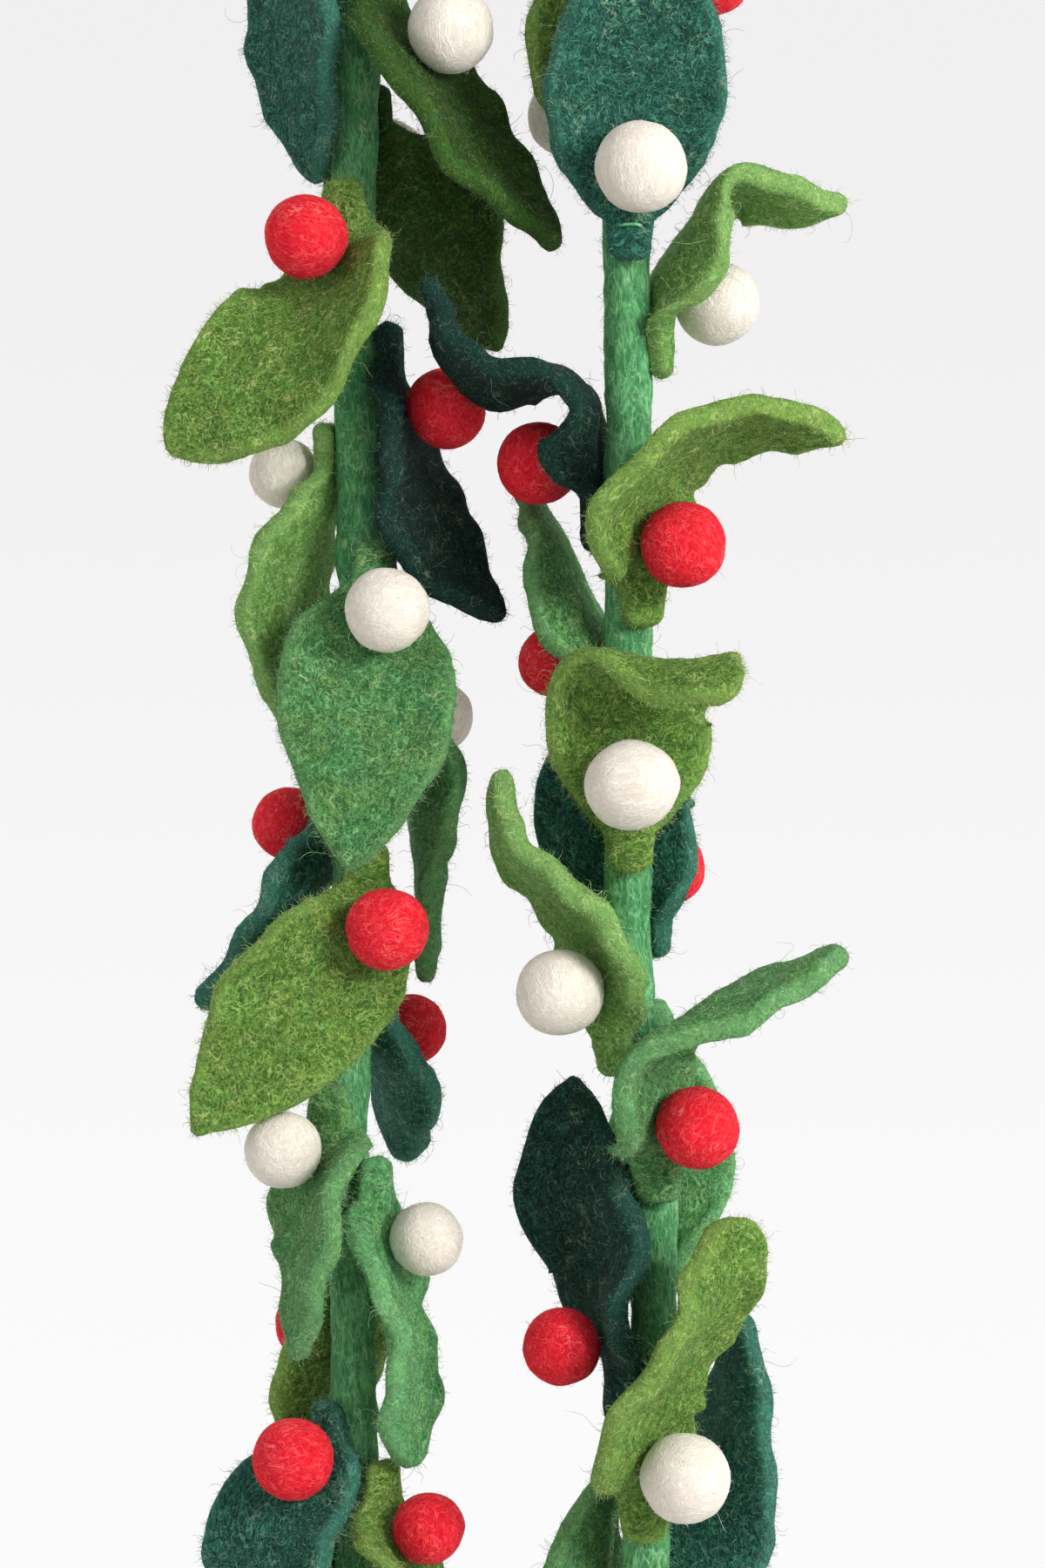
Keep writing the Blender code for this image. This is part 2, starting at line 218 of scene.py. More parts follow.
def unlevelled(start, place, mottle):
    """A mottle's noise as it is, before its levels are cut out of it."""
    away = moved(start, place, mottle.apart)
    return cloudy(start, away, mottle.size, mottle.detail, mottle.swirl)


def mottled(start, place, mottle):
    """0 outside a mottle's patches and 1 in them, with soft edges."""
    return unlevelled(start, place, mottle).between(mottle.low, mottle.high)


def curled(start, place, strand):
    """Thin curled lines, like single fibres lying on the felt: where soft noise is at its middle."""
    away = moved(start, place, strand.apart)
    depth = abs(cloudy(start, away, strand.size, STRAND_DETAIL, strand.curl) - 0.5)
    return (1 - depth.between(0, strand.width)) * strand.strength


def felt(name, wool, drawn=1.0, sheen=0.3):
    """Wool felt: a mat of curled fibres, painted lighter as if lit, over darker pits, which are
    painted shade where its bumps are low, with a painted glow at its cut edges. drawn is less than 1
    where the fibres have been drawn out along the piece."""
    material = bpy.data.materials.new(name)
    material.use_nodes = True
    tree = material.node_tree
    shader = tree.nodes["Principled BSDF"]
    shader.inputs["Roughness"].default_value = FELT_ROUGHNESS
    shader.inputs["Specular IOR Level"].default_value = FELT_SPECULAR
    shader.inputs["Sheen Weight"].default_value = sheen
    shader.inputs["Sheen Roughness"].default_value = FELT_SHEEN_ROUGHNESS
    shader.inputs["Sheen Tint"].default_value = (*wool.fibre, 1)

    start = Shade(tree)
    own = start.node("Attribute", {"attribute_name": "wool"}, {}, out="Vector")
    rim = start.node("Attribute", {"attribute_name": "rim"}, {}, out="Fac")
    place = start.node("Mapping", {"vector_type": "POINT"}, {"Vector": own, "Scale": (1, 1, drawn)})

    clouds = mottled(start, own, CLOUDS).raised(*CLOUD_SHADE)
    swirls = mottled(start, place, SWIRLS).raised(*SWIRL_SHADE)
    tufts = unlevelled(start, place, TUFTS)
    tops = tufts.between(TUFTS.low, TUFTS.high).raised(*TUFT_SHADE)
    fibres = sum(curled(start, place, strand) for strand in STRANDS)
    odd_fibres = curled(start, place, ODD_STRAND) * mottled(start, own, ODD_PLACES)

    body = mottled(start, own, CARDED_PATCHES).mixed((*wool.body, 1), (*wool.second, 1))
    # The pits' colour shows where the tufts are low, which is where the bumps are low too: painted
    # shade in the felt's hollows. The swirls and clouds add random darker patches of it.
    matted_with_painted_shade = (tops * swirls * clouds).mixed((*wool.pit, 1), body)
    # The fibres' lines are painted lighter, as light caught on the raised strands.
    with_lit_fibres = fibres.mixed(matted_with_painted_shade, (*wool.fibre, 1))
    # Painted light: the colour is lighter towards the cut edges, as a glow of the light from behind.
    with_painted_rim_glow = (rim * PAINTED_RIM_GLOW).mixed(with_lit_fibres, (*wool.fibre, 1))
    with_odd = odd_fibres.mixed(with_painted_rim_glow, (*wool.odd, 1))
    tree.links.new(with_odd.socket, shader.inputs["Base Color"])

    height = tufts + fibres * STRAND_HEIGHT
    sockets = {"Strength": FELT_BUMP, "Distance": FELT_BUMP_REACH, "Height": height}
    tree.links.new(start.node("Bump", {}, sockets).socket, shader.inputs["Normal"])
    return material


class Rope:
    """The rope's centre line, read by its length from the top of the bend."""

    FINE_STEPS = 24

    def __init__(self, points):
        spans = [(b - a).length for a, b in zip(points, points[1:])]
        self.line = [points[0]]
        for i, chord in enumerate(spans):
            before = points[max(i - 1, 0)]
            after = points[min(i + 2, len(points) - 1)]
            a, b = points[i], points[i + 1]
            slope_a = (b - before) / ((b - a).length + (a - before).length) * chord
            slope_b = (after - a) / ((after - b).length + (b - a).length) * chord
            for k in range(1, self.FINE_STEPS + 1):
                f = k / self.FINE_STEPS
                self.line.append(
                    a * (2 * f**3 - 3 * f**2 + 1) + slope_a * (f**3 - 2 * f**2 + f)
                    + b * (3 * f**2 - 2 * f**3) + slope_b * (f**3 - f**2)
                )
        self.lengths = [0.0]
        for a, b in zip(self.line, self.line[1:]):
            self.lengths.append(self.lengths[-1] + (b - a).length)
        top = max(range(len(self.line)), key=lambda i: self.line[i].z)
        self.start = -self.lengths[top]
        self.end = self.lengths[-1] + self.start

    def place(self, along):
        """The point at a length from the top of the bend, or the end that it is past."""
        at = min(max(along - self.start, 0.0), self.lengths[-1])
        low, high = 0, len(self.lengths) - 1
        while high - low > 1:
            middle = (low + high) // 2
            low, high = (middle, high) if self.lengths[middle] <= at else (low, middle)
        f = (at - self.lengths[low]) / (self.lengths[high] - self.lengths[low])
        return self.line[low].lerp(self.line[high], f)

    def heading(self, along):
        """The way that the rope runs there, towards the end of its left leg."""
        return (self.place(along + MM) - self.place(along - MM)).normalized()

    def outward(self, along, turn):
        """The direction straight out of the rope at an angle round it."""
        heading = self.heading(along)
        front = (VIEWER - heading * VIEWER.dot(heading)).normalized()
        return front * math.cos(turn) + heading.cross(front) * math.sin(turn)


def route_points():
    """The rope's own points, from the lower end of the right leg over the bend to the left."""
    points = [Vector((p.out * MM, -LEG_DEPTH, -p.drop * MM)) for p in reversed(RIGHT_LEG)]
    centre_drop = BEND_RADIUS - ROPE_RADIUS
    for i in range(BEND_POINTS):
        turn = math.pi * i / (BEND_POINTS - 1)
        points.append(Vector((
            BEND_RADIUS * math.cos(turn),
            -LEG_DEPTH * math.cos(turn),
            BEND_RADIUS * math.sin(turn) - centre_drop,
        )))
    points += [Vector((-p.out * MM, LEG_DEPTH, -p.drop * MM)) for p in LEFT_LEG]
    return points


# One point of a piece's skin: its place, its place in the wool, which the felt's patches and
# fibres are read by, and how near it is to a cut edge, from 0 to 1.
Spot = namedtuple("Spot", "place wool rim")

# Soft lumps of one size, and how far they stand out, from the deepest to the highest.
Lumps = namedtuple("Lumps", "size reach")
ROPE_LUMPS = [Lumps(5 * MM, 0.9 * MM), Lumps(1.8 * MM, 0.35 * MM)]

SAME_PLACE = 0.002 * MM


def skin(name, rings):
    """A closed skin over rings of spots: a grid whose sides meet and whose ends are drawn in."""
    around = len(rings[0])
    mesh = bpy.data.meshes.new(name)
    bm = bmesh.new()
    bmesh.ops.create_grid(bm, x_segments=around, y_segments=len(rings) - 1, size=1)
    wool = bm.verts.layers.float_vector.new("wool")
    rim = bm.verts.layers.float.new("rim")
    for i, vert in enumerate(sorted(bm.verts, key=lambda v: (round(v.co.y, 5), v.co.x))):
        spot = rings[i // (around + 1)][i % (around + 1) % around]
        vert.co = spot.place
        vert[wool] = spot.wool
        vert[rim] = spot.rim
    bmesh.ops.remove_doubles(bm, verts=bm.verts, dist=SAME_PLACE)
    bmesh.ops.recalc_face_normals(bm, faces=bm.faces)
    bm.to_mesh(mesh)
    bm.free()
    mesh.shade_smooth()
    piece = bpy.data.objects.new(name, mesh)
    bpy.context.collection.objects.link(piece)
    return piece


def roughened(piece, all_lumps):
    """Raises and sinks a piece's surface by its soft lumps."""
    bpy.ops.object.select_all(action="DESELECT")
    piece.select_set(True)
    bpy.context.view_layer.objects.active = piece
    for lumps in all_lumps:
        texture = bpy.data.textures.new("lumps", "CLOUDS")
        texture.noise_scale = lumps.size
        texture.noise_depth = 1
        displaced = piece.modifiers.new("lumps", "DISPLACE")
        displaced.texture = texture
        displaced.texture_coords = "LOCAL"
        displaced.strength = lumps.reach
        displaced.mid_level = 0.5
        bpy.ops.object.modifier_apply(modifier=displaced.name)


def rope_rings(rope):
    """Rings round the rope, a little uneven, with its wool twisted round it as it was rolled."""
    count = round((rope.end - rope.start) / ROPE_STEP)
    rings = []
    for i in range(count + 1):
        at = rope.start + (rope.end - rope.start) * i / count
        from_end = min(at - rope.start, rope.end - at)
        drawn_in = math.sqrt(max(0.0, 1 - (1 - min(from_end / ROPE_RADIUS, 1)) ** 2))
        ring = []
        for k in range(ROPE_RING):
            turn = 2 * math.pi * k / ROPE_RING
            twisted = turn + ROPE_TWIST * at
            wool = Vector((math.cos(twisted) * ROPE_RADIUS, math.sin(twisted) * ROPE_RADIUS, at))
            uneven = noise.noise(wool / ROPE_UNEVEN_LENGTH)
            radius = ROPE_RADIUS * drawn_in * (1 + ROPE_UNEVENNESS * uneven)
            ring.append(Spot(rope.place(at) + rope.outward(at, turn) * radius, wool, 0.0))
        rings.append(ring)
    return rings


ROPE_WOOL = Wool(
    pit=(0.026, 0.135, 0.046), body=(0.070, 0.305, 0.107), fibre=(0.220, 0.540, 0.250),
    second=(0.150, 0.450, 0.160), odd=(0.450, 0.600, 0.300),
)

rope = Rope(route_points())
rope_piece = skin("felted_rope", rope_rings(rope))
roughened(rope_piece, ROPE_LUMPS)
rope_piece.data.materials.append(felt("rope_felt", ROPE_WOOL, drawn=0.3))
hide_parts("rope")
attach(rope_piece, "root")


# The leaves: pointed ovals cut from thick hand-made felt in three greens, each with a short
# tail that is sewn to the rope. The felt is soft, so the blades cup, curl and ruffle, and
# their cut edges have felted over and gone round.
FELT_THICKNESS = 5.2 * MM
SEWN_GAP = 0.3 * MM
TAIL_LENGTH = 9 * MM
TAIL_END_WIDTH = 8.5 * MM
NECK_WIDTH = 11 * MM
TIP_WIDTH = 3.4 * MM
BELLY_SHIFT = 0.8
BASE_DRAW = 1.05
BASE_END = 0.1
BASE_FADE = 0.4
NECK_FADE = 4
LAST_SHARE = 0.995
TAIL_STEPS = 6
WALK_STEPS = 72
UNWRAPPED_SHARE = 0.12

LEAF_STEP = 1.6 * MM
END_ROWS = 4
FACE_CELLS = 18
RIM_CELLS = 6
RIM_ROUNDING = 0.65
RIM_FADE = 3.2 * MM
RUFFLE_REACH = 0.9 * MM
RUFFLE_LENGTHS = (13 * MM, 19 * MM)
RUFFLE_FADE = 3
BUCKLE_REACH = 1.1 * MM
BUCKLE_SIZE = 15 * MM
SEWN_DOWN_LENGTH = 14 * MM
OUTLINE_WANDER = 0.05
OUTLINE_WANDER_LENGTH = 11 * MM
THICKNESS_WANDER = 0.14
THICKNESS_WANDER_LENGTH = 9 * MM
END_SHARE = 0.5
LEAF_SHEEN = 0.15
LEAF_LUMPS = [Lumps(4.2 * MM, 0.7 * MM), Lumps(1.6 * MM, 0.4 * MM)]

# A sprig is a leaf with its ball. along: place of the neck on the rope, from the top of the
# bend, less than 0 on the right leg. round: where on the rope it is sewn, 0 to the viewer,
# 90 to the outside of the bend. Then, at even steps from the neck to the tip: the bearing
# of the midrib in the front view (0 right, 90 up), its tilt to the viewer, and how far the
# ball's side of the blade is rolled away from the viewer. seat: the ball, past the neck.
# own: whether the ball is a solid of its own. cup: the radius that the blade is cupped to.
# draw: how sharply the blade draws in to its tip, less for a blunter one.
Sprig = namedtuple(
    "Sprig",
    "name tone along round length width bearings tilts rolls ball diameter seat own cup draw",
    defaults=(12, True, 70, 0.75),
)
SPRIGS = [
    Sprig("01", "green", -455, -150, 60, 38, (114, 93, 80, 73),
          (-4, -8, -5, -5), (-145, -128, -116, -114), "red", 18, own=False),
    Sprig("02", "teal", -429.5, 130, 72, 38, (63, 73, 75, 82, 88),
          (-8, -8, -4, 0, 0), (145, 128, 118, 118, 120), "white", 18),
    Sprig("03", "lime", -401, -5, 74, 37, (99, 72, 56, 60, 64, 62),
          (32, 20, 5, 0, 0, 0), (42, 58, 70, 66, 42, 20), "white", 20.5, cup=60, draw=0.5),
    Sprig("04", "teal", -375.5, -75, 72, 40, (106, 82, 125, 98, 91, 77),
          (-5, -9, -12, -11, -8, -4), (-78, -66, -53, -41, -34, -32), "red", 17.8, draw=0.68),
    Sprig("05", "green", -346, 150, 60, 34, (98, 88, 96, 88),
          (-26, -22, -14, -5), (165, 145, 125, 115), "white", 17, own=False),
    Sprig("06", "green", -324.5, 8, 78, 38, (101, 90, 32, 28, 22, 25, 27),
          (32, 20, 6, 0, 0, 0, 0), (50, 64, 78, 92, 98, 102, 100), "red", 18.6, cup=60),
    Sprig("07", "lime", -295, -45, 69, 37, (92, 112, 139, 136, 102, 95),
          (8, 5, 5, 0, 0, 0), (-58, -70, -76, -77, -78, -80), "white", 19.6, cup=60),
    Sprig("08", "teal", -269.5, 140, 59, 38, (124, 90, 76, 57),
          (-22, -16, -10, 0), (155, 168, 180, 180), "red", 18, own=False),
    Sprig("09", "lime", -249.5, 0, 68, 36, (89, 93, 53, -8, -25, -39),
          (5, 8, 25, 58, 50, 25), (0, 5, 25, 95, 132, 146), "white", 20.6, draw=0.5),
    Sprig("10", "green", -217, -120, 59, 38, (104, 108, 115, 119, 121),
          (-25, -32, -30, -28, -22), (-124, -108, -98, -97, -100), "red", 16.6),
    Sprig("11", "lime", -194.2, 20, 76, 38, (107, 66, 46, 24, 1, -12, -19),
          (36, 22, 5, 0, 0, 0, 0), (50, 62, 72, 75, 75, 72, 75), "red", 19.2, cup=60, draw=0.62),
    Sprig("12", "teal", -176.5, -96, 76, 37, (101, 93, 160, 184, 136, 112, 103),
          (14, 20, 12, 0, 0, 0, 0), (-120, -105, -90, -83, -82, -82, -84), "red", 18.8, cup=60),
    Sprig("13", "lime", -137.5, 85, 67, 36, (75, 62, 54, -19, -12, 8),
          (0, 0, 5, 8, 5, 0), (112, 104, 90, 80, 76, 80), "white", 19.6, cup=34),
    Sprig("14", "teal", -111.5, 5, 73, 40, (89, 83, 91, 90, 95),
          (10, 10, 8, 5, 0), (10, 10, 5, 2, 0), "white", 20.8),
    Sprig("15", "lime", -90, -150, 48, 36, (105, 108, 104, 104, 100),
          (-15, -20, -28, -38, -45), (-145, -125, -115, -113, -115), "white", 19.2, own=False),
    Sprig("16", "green", -62, 108, 59, 36, (72, 78, 69, 66),
          (-5, -5, 0, 0), (108, 100, 95, 92), "red", 18, own=False),
    Sprig("17", "teal", -22, 60, 56, 38, (175, 86, 150, 124),
          (15, 10, 0, 0), (60, 50, 40, 40), "white", 19, own=False),
    Sprig("18", "lime", 12, 75, 57, 38, (-258, -199, -199, -176),
          (0, 0, 10, 10), (75, 75, 70, 60), "red", 18.2, own=False),
    Sprig("19", "teal", 31, 75, 75, 40, (-117, -94, -88, -81, -80),
          (0, 0, 0, 0, 0), (70, 62, 56, 55, 58), "white", 18.6, own=False),
    Sprig("20", "green", 54.5, -54, 76, 38, (-66, -53, -58, -47, -49, -56),
          (28, 12, 2, 0, 0, 0), (-57, -64, -61, -58, -58, -66), "white", 19.4, seat=23, cup=60),
    Sprig("21", "green", 84, -155, 63, 38, (-45, -62, -56, -66),
          (-24, -18, -10, 0), (-160, -142, -128, -124), "white", 17, own=False),
    Sprig("22", "lime", 108.5, 16, 73, 40, (-98, -122, -136, -139, -139, -138),
          (30, 16, 5, 0, 0, 0), (42, 48, 30, 12, 8, 6), "red", 18.6, cup=60, draw=0.58),
    Sprig("23", "teal", 141, -75, 68, 39, (-85, -79, -70, -55, -46, -35),
          (-9, -6, -1, 0, 0, 0), (-82, -76, -64, -58, -57, -61), "red", 18.4),
    Sprig("24", "lime", 163.5, 112, 64, 38, (-112, -106, -96, -88, -90),
          (-5, -5, 0, 5, 0), (102, 112, 119, 116, 116), "white", 16, seat=3),
    Sprig("25", "green", 191.5, -25, 69, 40, (-98, -90, -96, -96, -97),
          (23, 14, 6, 0, -3), (-13, -3, 2, 0, 0), "white", 19.4, cup=90),
    Sprig("26", "green", 215.5, -120, 72, 37, (-71, -80, -87, -92, -92),
          (-20, -16, -6, 0, 0), (-125, -106, -92, -88, -88), "white", 17.4, own=False, cup=60),
    Sprig("27", "teal", 246, 125, 56, 36, (-116, -123, -134, -135, -133),
          (-8, -5, 0, 0, 0), (112, 100, 97, 96, 100), "red", 17.4, seat=4, cup=60),
    Sprig("28", "lime", 261, -20, 72, 37, (-119, -135, -125, -133, -126),
          (24, 16, 9, 4, 0), (-30, -20, -10, -5, -5), "red", 19.4, cup=80),
    Sprig("29", "teal", 289, -140, 47, 36, (-85, -65, -81, -74, -83),
          (-38, -42, -38, -15, 10), (-125, -118, -110, -112, -118), "red", 16.2, seat=17,
          cup=60, draw=0.5),
    Sprig("30", "green", 316.5, 24, 56, 36, (-104, -92, -102, -97, -102),
          (34, 24, 8, 0, 0), (58, 66, 70, 74, 78), "white", 17.6, cup=60),
    Sprig("31", "green", 334, -50, 63, 36, (-79, -81, -74, -89, -90, -82),
          (8, 6, 0, 0, 0, 0), (-66, -78, -84, -76, -62, -52), "white", 17, cup=60, draw=0.6),
    Sprig("32", "lime", 358, 150, 69, 34, (-94, -103, -82, -98),
          (-30, -24, -14, -5), (140, 115, 105, 105), "red", 17, own=False),
    Sprig("33", "teal", 389.5, 48, 70, 33, (-143, -94, -105, -94, -98),
          (18, 14, 8, 0, 0), (40, 34, 32, 30, 28), "red", 18.6, cup=60),
    Sprig("34", "lime", 403.5, -50, 65, 34, (-68, -110, -76, -100, -80),
          (30, 20, 8, 0, 0), (-66, -75, -78, -78, -77), "red", 16, cup=60),
    Sprig("35", "green", 420.5, 105, 69, 36, (-121, -122, -97, -108),
          (-14, -12, -6, 0), (115, 122, 126, 126), "white", 18, own=False),
    Sprig("36", "teal", 440.5, -145, 74, 36, (-74, -58, -88, -63),
          (-26, -20, -10, 0), (-140, -130, -126, -126), "red", 17.6, own=False),
]

LEAF_WOOLS = {
    "lime": Wool(
        pit=(0.020, 0.062, 0.009), body=(0.096, 0.238, 0.036), fibre=(0.300, 0.490, 0.110),
        second=(0.118, 0.195, 0.028), odd=(0.600, 0.620, 0.240),
    ),
    # A copy of the lime painted lighter: painted light for leaves that are lit or that the light
    # shines through.
    "painted_light_lime": Wool(
        pit=(0.038, 0.120, 0.022), body=(0.118, 0.295, 0.056), fibre=(0.330, 0.560, 0.175),
        second=(0.128, 0.240, 0.038), odd=(0.600, 0.660, 0.280),
    ),
    # Green painted darker and browner: painted shade for leaves in the shadow of others, over the
    # olive-brown cast of their felt.
    "shaded_olive": Wool(
        pit=(0.006, 0.020, 0.003), body=(0.018, 0.055, 0.008), fibre=(0.065, 0.170, 0.028),
        second=(0.034, 0.048, 0.006), odd=(0.200, 0.260, 0.080),
    ),
    "green": Wool(
        pit=(0.013, 0.062, 0.018), body=(0.063, 0.234, 0.070), fibre=(0.210, 0.470, 0.175),
        second=(0.095, 0.215, 0.045), odd=(0.480, 0.600, 0.280),
    ),
    "emerald": Wool(
        pit=(0.018, 0.088, 0.028), body=(0.084, 0.340, 0.112), fibre=(0.250, 0.580, 0.240),
        second=(0.115, 0.330, 0.080), odd=(0.480, 0.640, 0.300),
    ),
    "teal": Wool(
        pit=(0.003, 0.022, 0.016), body=(0.011, 0.082, 0.056), fibre=(0.075, 0.280, 0.190),
        second=(0.009, 0.052, 0.040), odd=(0.340, 0.460, 0.280),
    ),
    # A darker copy of the teal: partly a darker felt, partly painted shade.
    "deep_teal_and_shade": Wool(
        pit=(0.001, 0.006, 0.005), body=(0.004, 0.024, 0.018), fibre=(0.028, 0.120, 0.086),
        second=(0.006, 0.018, 0.012), odd=(0.240, 0.330, 0.200),
    ),
    # A still darker copy of the teal: painted shade for leaves whose faces lie in shadow.
    "painted_shade_teal": Wool(
        pit=(0.001, 0.003, 0.003), body=(0.002, 0.013, 0.010), fibre=(0.016, 0.075, 0.054),
        second=(0.003, 0.010, 0.007), odd=(0.180, 0.260, 0.160),
    ),
}

# One place along a leaf's midrib: its distance past the neck, the way on and the way out of the
# blade there, half the blade's width, and how much it is bent across, as 1 over the radius.
Row = namedtuple("Row", "distance point heading normal half_width curl")


def smooth_value(values, t):
    """A smooth curve through values that are evenly spaced from 0 to 1, read at t."""
    spans = len(values) - 1
    at = min(max(t, 0.0), 1.0) * spans
    i = min(int(at), spans - 1)
    f = at - i
    a, b = values[i], values[i + 1]
    before = values[max(i - 1, 0)]
    after = values[min(i + 2, spans)]
    return (
        (2 * f**3 - 3 * f**2 + 1) * a + (f**3 - 2 * f**2 + f) * (b - before) / 2
        + (3 * f**2 - 2 * f**3) * b + (f**3 - f**2) * (after - a) / 2
    )


def half_width_at(share, sprig):
    """Half the width of the blade, at a share of the way from its neck to its tip."""
    past_base = min(max((share - BASE_END) / BASE_FADE, 0.0), 1.0)
    draw = BASE_DRAW + (sprig.draw - BASE_DRAW) * past_base
    oval = math.sin(math.pi * min(share, LAST_SHARE) ** BELLY_SHIFT) ** draw
    neck = NECK_WIDTH / 2 * (1 - share) ** NECK_FADE
    return max(sprig.width / 2 * MM * oval + neck, TIP_WIDTH / 2)


def turned_normal(heading, roll):
    """The way out of the blade, turned about its midrib from the way to the viewer."""
    front = (VIEWER - heading * VIEWER.dot(heading)).normalized()
    return front * math.cos(roll) + heading.cross(front) * math.sin(roll)


def leaf_rows(sprig):
    """The leaf's cross lines, close together, from the end of its tail to its tip."""
    along = sprig.along * MM
    turn = math.radians(sprig.round)
    seat = ROPE_RADIUS + SEWN_GAP + FELT_THICKNESS / 2
    rows = []
    for i in range(TAIL_STEPS):
        share = i / TAIL_STEPS
        at = along - TAIL_LENGTH * (1 - share)
        out = rope.outward(at, turn)
        point = rope.place(at) + out * seat
        half = (TAIL_END_WIDTH + (NECK_WIDTH - TAIL_END_WIDTH) * share) / 2
        rows.append(Row(at - along, point, rope.heading(at), out, half, -1 / seat))

    start = rope.heading(along)
    first = math.degrees(math.atan2(start.z, start.x))
    first += 360 * round((sprig.bearings[0] - first) / 360)
    bearings = [first, *sprig.bearings]
    tilts = [math.degrees(math.asin(start.dot(VIEWER))), *sprig.tilts]
    rolls = [sprig.round, *sprig.rolls]
    step_length = sprig.length * MM / WALK_STEPS
    point = rope.place(along) + rope.outward(along, turn) * seat
    for step in range(WALK_STEPS + 1):
        share = step / WALK_STEPS
        bearing = math.radians(smooth_value(bearings, share))
        tilt = math.radians(smooth_value(tilts, share))
        heading = Vector((
            math.cos(bearing) * math.cos(tilt),
            -math.sin(tilt),
            math.sin(bearing) * math.cos(tilt),
        ))
        normal = turned_normal(heading, math.radians(smooth_value(rolls, share)))
        unwrapped = min(share / UNWRAPPED_SHARE, 1.0)
        curl = unwrapped / (sprig.cup * MM) - (1 - unwrapped) / seat
        half = half_width_at(share, sprig)
        rows.append(Row(step * step_length, point.copy(), heading, normal, half, curl))
        point = point + heading * step_length
    return rows


def row_at(rows, distance):
    """The cross line at a distance past the neck, between the two nearest."""
    for a, b in zip(rows, rows[1:]):
        if distance <= b.distance:
            break
    f = min(max((distance - a.distance) / (b.distance - a.distance), 0.0), 1.0)
    return Row(
        distance, a.point.lerp(b.point, f), a.heading.lerp(b.heading, f).normalized(),
        a.normal.lerp(b.normal, f).normalized(), a.half_width + (b.half_width - a.half_width) * f,
        a.curl + (b.curl - a.curl) * f,
    )


def row_distances(low, high):
    """Even steps along the leaf, and closer ones where its two ends are rounded."""
    radius = FELT_THICKNESS / 2
    ends = [radius * (1 - math.cos(math.pi / 2 * i / END_ROWS)) for i in range(END_ROWS)]
    middle = high - low - 2 * radius
    count = round(middle / LEAF_STEP)
    inner = [low + radius + middle * i / count for i in range(count + 1)]
    return [low + e for e in ends] + inner + [high - e for e in reversed(ends)]


def own_corner(rng):
    """A place of a piece's own in the noise, so that no two pieces have the same lumps."""
    return Vector((rng.uniform(0, 9), rng.uniform(0, 9), rng.uniform(0, 9)))


def leaf_rings(sprig, rows):
    """Rings round the leaf: its two faces, and its rounded edges between them."""
    rng = random.Random(int(sprig.name))
    own = own_corner(rng)
    phases = {side: rng.uniform(0, 2 * math.pi) for side in (-1, 1)}
    waves = {side: rng.uniform(*RUFFLE_LENGTHS) for side in (-1, 1)}
    radius = FELT_THICKNESS / 2
    low, high = rows[0].distance, rows[-1].distance
    rings = []
    for distance in row_distances(low, high):
        row = row_at(rows, distance)
        side = row.heading.cross(row.normal)
        from_end = min(distance - low, high - distance)
        drawn_in = math.sqrt(max(0.0, 1 - (1 - min(from_end / radius, 1)) ** 2))
        wander = noise.noise(Vector((distance / OUTLINE_WANDER_LENGTH, 0, 0)) + own)
        rounding = END_SHARE + (1 - END_SHARE) * drawn_in
        half = row.half_width * rounding * (1 + OUTLINE_WANDER * wander)
        uneven = noise.noise(Vector((0, distance / THICKNESS_WANDER_LENGTH, 0)) + own)
        thick = radius * (1 + THICKNESS_WANDER * uneven)
        rim_reach = min(half, thick)
        freed = min(max(distance / SEWN_DOWN_LENGTH, 0.0), 1.0)
        ring = []
        for face in (1, -1):
            flat = [(-1 + 2 * i / FACE_CELLS) * (half - rim_reach) * face for i in range(FACE_CELLS)]
            ring += [(x, thick * face) for x in flat]
            for i in range(RIM_CELLS):
                turn = math.pi * i / RIM_CELLS
                bulge = math.sin(turn) ** RIM_ROUNDING
                rise = math.copysign(abs(math.cos(turn)) ** RIM_ROUNDING, math.cos(turn))
                ring.append(((half - rim_reach + rim_reach * bulge) * face, thick * rise * face))
        spots = []
        for x, lift in ring:
            edge = 1 if x > 0 else -1
            share = min(abs(x) / half, 1)
            wave = math.sin(2 * math.pi * distance / waves[edge] + phases[edge])
            ruffle = wave * share**RUFFLE_FADE
            buckle = noise.noise(Vector((x, distance, 0)) / BUCKLE_SIZE + own)
            lift = lift * drawn_in + freed * (RUFFLE_REACH * ruffle + BUCKLE_REACH * buckle)
            angle = row.curl * x
            reach, bent = math.sin(angle) / row.curl, (1 - math.cos(angle)) / row.curl
            out = row.normal * math.cos(angle) - side * math.sin(angle)
            place = row.point + side * reach + row.normal * bent + out * lift
            inset = min(half - abs(x), from_end)
            rim = max(0.0, 1 - inset / RIM_FADE) ** 2
            spots.append(Spot(place, own + Vector((x, lift, distance)), rim))
        rings.append(spots)
    return rings


def cut_area(rows):
    """The area of the flat cut, before it was sewn on."""
    strips = zip(rows, rows[1:])
    return sum((b.distance - a.distance) * (a.half_width + b.half_width) for a, b in strips)


# The leaves whose wool is lighter or darker than the rest of their tone. The lighter lime is painted
# light, the olive and the darkest teal are painted shade, and the deep teal is partly a darker felt
# and partly painted shade.
OWN_WOOLS = {
    "07": "painted_light_lime", "13": "painted_light_lime", "24": "painted_light_lime", "20": "shaded_olive", "21": "shaded_olive",
    "05": "emerald", "31": "emerald", "04": "deep_teal_and_shade", "12": "painted_shade_teal", "23": "painted_shade_teal",
}


def leaf_wool(sprig):
    return OWN_WOOLS.get(sprig.name, sprig.tone)


